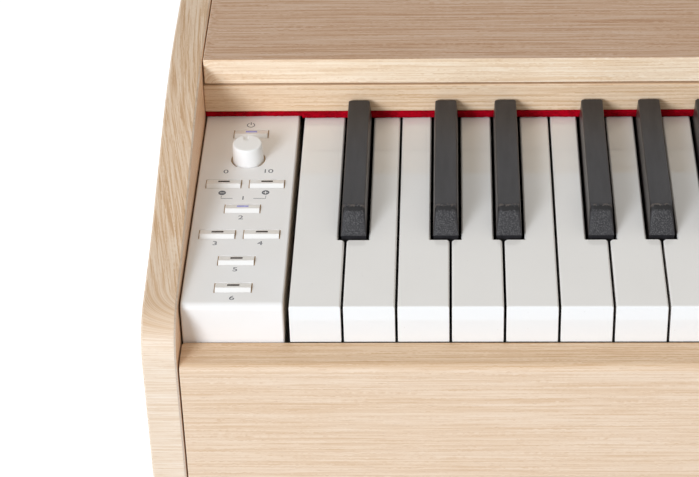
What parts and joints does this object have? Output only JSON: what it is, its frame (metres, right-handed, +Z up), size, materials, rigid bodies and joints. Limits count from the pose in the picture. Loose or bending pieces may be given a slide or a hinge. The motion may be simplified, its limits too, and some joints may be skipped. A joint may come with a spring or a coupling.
{
  "type": "stage piano",
  "caption": "Slab stage piano in a light oak case with sprung keys, white end blocks, small push buttons and a volume knob.",
  "frame": {"origin": "middle of the footprint, on the surface the feet stand on", "axes": "+X right along the keys towards the treble, +Y to the back, +Z up"},
  "size_m": [1.3466, 0.345, 0.14],
  "materials": {
    "oak": "light oak foil, satin",
    "board_dark": "brown hardboard and fibreboard, matt",
    "white_key": "glossy",
    "black_key": "fine matt texture",
    "white_plastic": "satin",
    "red_felt": "felt",
    "grey_felt": "felt",
    "steel": "plated sheet",
    "brass": "plain",
    "circuit_board": "solder mask",
    "rubber": "matt",
    "black_plastic": "satin",
    "speaker_black": "satin"
  },
  "bodies": {
    "case": {"audio_jacks": "black_plastic", "back_panel": "board_dark", "bottom_board": "board_dark", "case_screws": "steel", "contact_board": "circuit_board", "contact_rubber": "rubber", "control_panel": "white_plastic", "fallboard": "oak", "felt_strip": "red_felt", "key_chassis": "steel", "key_slip": "oak", "main_board": "circuit_board", "panel_board": "circuit_board", "power_inlet": "black_plastic", "right_end_block": "white_plastic", "rubber_feet": "rubber", "side_panel_left": "oak", "side_panel_right": "oak", "speaker_left": "speaker_black", "speaker_right": "speaker_black", "stand_inserts": "brass", "stop_felt": "grey_felt", "top_board": "oak"},
    "volume_control": {"volume_knob": "white_plastic", "pot_shaft": "steel"},
    "power_button": {"power_button": "white_plastic"},
    "minus_button": {"minus_button": "white_plastic"},
    "plus_button": {"plus_button": "white_plastic"},
    "voice_button": {"voice_button": "white_plastic"},
    "record_button": {"record_button": "white_plastic"},
    "play_button": {"play_button": "white_plastic"},
    "beat_button": {"beat_button": "white_plastic"},
    "function_button": {"function_button": "white_plastic"},
    "key_a0": {"key_a0": "white_key"},
    "key_a1": {"key_a1": "white_key"},
    "key_as0": {"key_as0": "black_key"},
    "key_as1": {"key_as1": "black_key"},
    "key_b0": {"key_b0": "white_key"},
    "key_b1": {"key_b1": "white_key"},
    "key_c1": {"key_c1": "white_key"},
    "key_cs1": {"key_cs1": "black_key"},
    "key_d1": {"key_d1": "white_key"},
    "key_ds1": {"key_ds1": "black_key"},
    "key_e1": {"key_e1": "white_key"},
    "key_f1": {"key_f1": "white_key"},
    "key_fs1": {"key_fs1": "black_key"},
    "key_g1": {"key_g1": "white_key"},
    "key_gs1": {"key_gs1": "black_key"},
    "black_keys_octave_2": {"black_keys_octave_2": "black_key"},
    "black_keys_octave_3": {"black_keys_octave_3": "black_key"},
    "black_keys_octave_4": {"black_keys_octave_4": "black_key"},
    "black_keys_octave_5": {"black_keys_octave_5": "black_key"},
    "black_keys_octave_6": {"black_keys_octave_6": "black_key"},
    "black_keys_octave_7": {"black_keys_octave_7": "black_key"},
    "white_keys_octave_2": {"white_keys_octave_2": "white_key"},
    "white_keys_octave_3": {"white_keys_octave_3": "white_key"},
    "white_keys_octave_4": {"white_keys_octave_4": "white_key"},
    "white_keys_octave_5": {"white_keys_octave_5": "white_key"},
    "white_keys_octave_6": {"white_keys_octave_6": "white_key"},
    "white_keys_octave_7": {"white_keys_octave_7": "white_key"}
  },
  "joints": [
    {"name": "volume_turn", "type": "hinge", "parent": "case", "child": "volume_control", "pos_m": [-0.63525, -0.0413, 0.1075], "axis": [0, 0, 1], "range_deg": [-161.5, 138.5]},
    {"name": "power_button_press", "type": "slide", "parent": "case", "child": "power_button", "axis": [0, 0, -1], "range_m": [0, 0.001], "stiffness_N_per_m": 300, "springref_m": -0.001},
    {"name": "minus_button_press", "type": "slide", "parent": "case", "child": "minus_button", "axis": [0, 0, -1], "range_m": [0, 0.001], "stiffness_N_per_m": 300, "springref_m": -0.001},
    {"name": "plus_button_press", "type": "slide", "parent": "case", "child": "plus_button", "axis": [0, 0, -1], "range_m": [0, 0.001], "stiffness_N_per_m": 300, "springref_m": -0.001},
    {"name": "voice_button_press", "type": "slide", "parent": "case", "child": "voice_button", "axis": [0, 0, -1], "range_m": [0, 0.001], "stiffness_N_per_m": 300, "springref_m": -0.001},
    {"name": "record_button_press", "type": "slide", "parent": "case", "child": "record_button", "axis": [0, 0, -1], "range_m": [0, 0.001], "stiffness_N_per_m": 300, "springref_m": -0.001},
    {"name": "play_button_press", "type": "slide", "parent": "case", "child": "play_button", "axis": [0, 0, -1], "range_m": [0, 0.001], "stiffness_N_per_m": 300, "springref_m": -0.001},
    {"name": "beat_button_press", "type": "slide", "parent": "case", "child": "beat_button", "axis": [0, 0, -1], "range_m": [0, 0.001], "stiffness_N_per_m": 300, "springref_m": -0.001},
    {"name": "function_button_press", "type": "slide", "parent": "case", "child": "function_button", "axis": [0, 0, -1], "range_m": [0, 0.001], "stiffness_N_per_m": 300, "springref_m": -0.001},
    {"name": "key_a0_press", "type": "hinge", "parent": "case", "child": "key_a0", "pos_m": [-0.59925, 0.051, 0.095], "axis": [1, 0, 0], "range_deg": [0, 2.8], "stiffness_Nm_per_rad": 0.61, "springref_deg": -20.05},
    {"name": "key_a1_press", "type": "hinge", "parent": "case", "child": "key_a1", "pos_m": [-0.43475, 0.051, 0.095], "axis": [1, 0, 0], "range_deg": [0, 2.8], "stiffness_Nm_per_rad": 0.55, "springref_deg": -20.05},
    {"name": "key_as0_press", "type": "hinge", "parent": "case", "child": "key_as0", "pos_m": [-0.5839, 0.051, 0.095], "axis": [1, 0, 0], "range_deg": [0, 3.2], "stiffness_Nm_per_rad": 0.43, "springref_deg": -20.05},
    {"name": "key_as1_press", "type": "hinge", "parent": "case", "child": "key_as1", "pos_m": [-0.4194, 0.051, 0.095], "axis": [1, 0, 0], "range_deg": [0, 3.2], "stiffness_Nm_per_rad": 0.43, "springref_deg": -20.05},
    {"name": "key_b0_press", "type": "hinge", "parent": "case", "child": "key_b0", "pos_m": [-0.57575, 0.051, 0.095], "axis": [1, 0, 0], "range_deg": [0, 2.8], "stiffness_Nm_per_rad": 0.55, "springref_deg": -20.05},
    {"name": "key_b1_press", "type": "hinge", "parent": "case", "child": "key_b1", "pos_m": [-0.41125, 0.051, 0.095], "axis": [1, 0, 0], "range_deg": [0, 2.8], "stiffness_Nm_per_rad": 0.55, "springref_deg": -20.05},
    {"name": "key_c1_press", "type": "hinge", "parent": "case", "child": "key_c1", "pos_m": [-0.55225, 0.051, 0.095], "axis": [1, 0, 0], "range_deg": [0, 2.8], "stiffness_Nm_per_rad": 0.56, "springref_deg": -20.05},
    {"name": "key_cs1_press", "type": "hinge", "parent": "case", "child": "key_cs1", "pos_m": [-0.54261, 0.051, 0.095], "axis": [1, 0, 0], "range_deg": [0, 3.2], "stiffness_Nm_per_rad": 0.43, "springref_deg": -20.05},
    {"name": "key_d1_press", "type": "hinge", "parent": "case", "child": "key_d1", "pos_m": [-0.52875, 0.051, 0.095], "axis": [1, 0, 0], "range_deg": [0, 2.8], "stiffness_Nm_per_rad": 0.56, "springref_deg": -20.05},
    {"name": "key_ds1_press", "type": "hinge", "parent": "case", "child": "key_ds1", "pos_m": [-0.51441, 0.051, 0.095], "axis": [1, 0, 0], "range_deg": [0, 3.2], "stiffness_Nm_per_rad": 0.43, "springref_deg": -20.05},
    {"name": "key_e1_press", "type": "hinge", "parent": "case", "child": "key_e1", "pos_m": [-0.50525, 0.051, 0.095], "axis": [1, 0, 0], "range_deg": [0, 2.8], "stiffness_Nm_per_rad": 0.55, "springref_deg": -20.05},
    {"name": "key_f1_press", "type": "hinge", "parent": "case", "child": "key_f1", "pos_m": [-0.48175, 0.051, 0.095], "axis": [1, 0, 0], "range_deg": [0, 2.8], "stiffness_Nm_per_rad": 0.55, "springref_deg": -20.05},
    {"name": "key_fs1_press", "type": "hinge", "parent": "case", "child": "key_fs1", "pos_m": [-0.47341, 0.051, 0.095], "axis": [1, 0, 0], "range_deg": [0, 3.2], "stiffness_Nm_per_rad": 0.43, "springref_deg": -20.05},
    {"name": "key_g1_press", "type": "hinge", "parent": "case", "child": "key_g1", "pos_m": [-0.45825, 0.051, 0.095], "axis": [1, 0, 0], "range_deg": [0, 2.8], "stiffness_Nm_per_rad": 0.55, "springref_deg": -20.05},
    {"name": "key_gs1_press", "type": "hinge", "parent": "case", "child": "key_gs1", "pos_m": [-0.4465, 0.051, 0.095], "axis": [1, 0, 0], "range_deg": [0, 3.2], "stiffness_Nm_per_rad": 0.43, "springref_deg": -20.05},
    {"name": "black_keys_octave_2_press", "type": "hinge", "parent": "case", "child": "black_keys_octave_2", "pos_m": [-0.31651, 0.051, 0.095], "axis": [1, 0, 0], "range_deg": [0, 3.2], "stiffness_Nm_per_rad": 2.16, "springref_deg": -20.05},
    {"name": "black_keys_octave_3_press", "type": "hinge", "parent": "case", "child": "black_keys_octave_3", "pos_m": [-0.15201, 0.051, 0.095], "axis": [1, 0, 0], "range_deg": [0, 3.2], "stiffness_Nm_per_rad": 2.16, "springref_deg": -20.05},
    {"name": "black_keys_octave_4_press", "type": "hinge", "parent": "case", "child": "black_keys_octave_4", "pos_m": [0.01249, 0.051, 0.095], "axis": [1, 0, 0], "range_deg": [0, 3.2], "stiffness_Nm_per_rad": 2.16, "springref_deg": -20.05},
    {"name": "black_keys_octave_5_press", "type": "hinge", "parent": "case", "child": "black_keys_octave_5", "pos_m": [0.17699, 0.051, 0.095], "axis": [1, 0, 0], "range_deg": [0, 3.2], "stiffness_Nm_per_rad": 2.16, "springref_deg": -20.05},
    {"name": "black_keys_octave_6_press", "type": "hinge", "parent": "case", "child": "black_keys_octave_6", "pos_m": [0.34149, 0.051, 0.095], "axis": [1, 0, 0], "range_deg": [0, 3.2], "stiffness_Nm_per_rad": 2.16, "springref_deg": -20.05},
    {"name": "black_keys_octave_7_press", "type": "hinge", "parent": "case", "child": "black_keys_octave_7", "pos_m": [0.50599, 0.051, 0.095], "axis": [1, 0, 0], "range_deg": [0, 3.2], "stiffness_Nm_per_rad": 2.16, "springref_deg": -20.05},
    {"name": "white_keys_octave_2_press", "type": "hinge", "parent": "case", "child": "white_keys_octave_2", "pos_m": [-0.31725, 0.051, 0.095], "axis": [1, 0, 0], "range_deg": [0, 2.8], "stiffness_Nm_per_rad": 3.87, "springref_deg": -20.05},
    {"name": "white_keys_octave_3_press", "type": "hinge", "parent": "case", "child": "white_keys_octave_3", "pos_m": [-0.15275, 0.051, 0.095], "axis": [1, 0, 0], "range_deg": [0, 2.8], "stiffness_Nm_per_rad": 3.87, "springref_deg": -20.05},
    {"name": "white_keys_octave_4_press", "type": "hinge", "parent": "case", "child": "white_keys_octave_4", "pos_m": [0.01175, 0.051, 0.095], "axis": [1, 0, 0], "range_deg": [0, 2.8], "stiffness_Nm_per_rad": 3.87, "springref_deg": -20.05},
    {"name": "white_keys_octave_5_press", "type": "hinge", "parent": "case", "child": "white_keys_octave_5", "pos_m": [0.17625, 0.051, 0.095], "axis": [1, 0, 0], "range_deg": [0, 2.8], "stiffness_Nm_per_rad": 3.87, "springref_deg": -20.05},
    {"name": "white_keys_octave_6_press", "type": "hinge", "parent": "case", "child": "white_keys_octave_6", "pos_m": [0.34075, 0.051, 0.095], "axis": [1, 0, 0], "range_deg": [0, 2.8], "stiffness_Nm_per_rad": 3.87, "springref_deg": -20.05},
    {"name": "white_keys_octave_7_press", "type": "hinge", "parent": "case", "child": "white_keys_octave_7", "pos_m": [0.517, 0.051, 0.095], "axis": [1, 0, 0], "range_deg": [0, 2.8], "stiffness_Nm_per_rad": 4.5, "springref_deg": -20.05}
  ]
}
